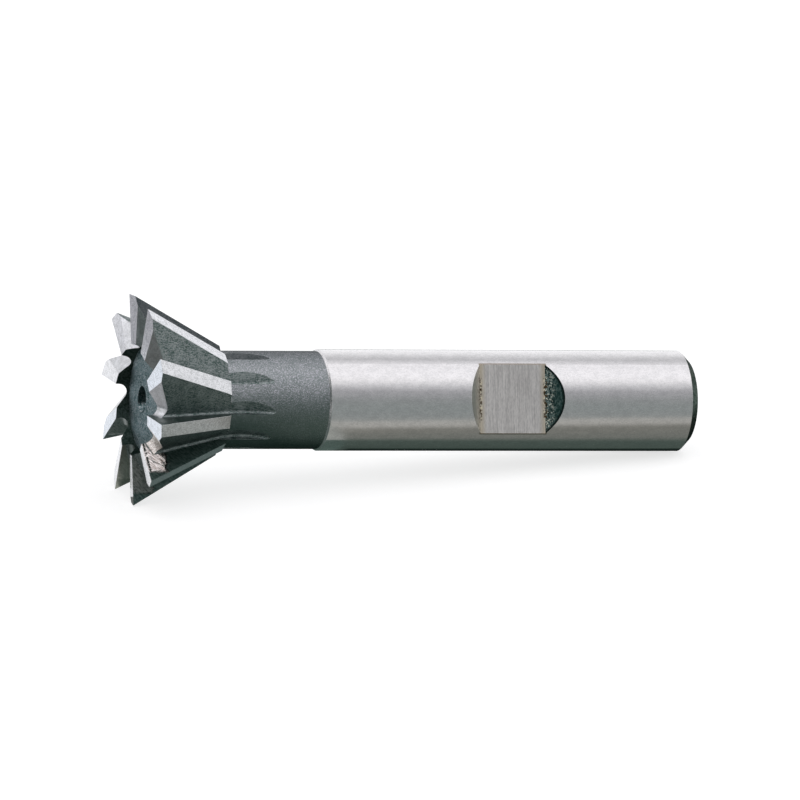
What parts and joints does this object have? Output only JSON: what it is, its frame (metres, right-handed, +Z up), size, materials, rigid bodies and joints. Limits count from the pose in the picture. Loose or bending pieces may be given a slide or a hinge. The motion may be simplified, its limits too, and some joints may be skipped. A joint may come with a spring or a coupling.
{
  "type": "dovetail angle milling cutter",
  "caption": "One-piece dovetail angle milling cutter: a cone of straight teeth on a round shank with a clamping flat.",
  "frame": {"origin": "middle of the bounding box, on the surface that the cutter lies on", "axes": "+Z up; the tool axis lies in the XZ plane, its shank end towards +X and lower than its head by the lean of the resting cutter; the clamping flat faces between -Y and +Z"},
  "size_m": [0.0702, 0.025, 0.0238],
  "materials": {
    "tool_steel": "high speed steel: ground bright on the shank, the clamping flat and the tooth lands, dark steam-oxide finish on the neck, the tooth gaps and the hollow of the large end"
  },
  "bodies": {
    "root": {"angle_cutter": "tool_steel"}
  },
  "joints": []
}
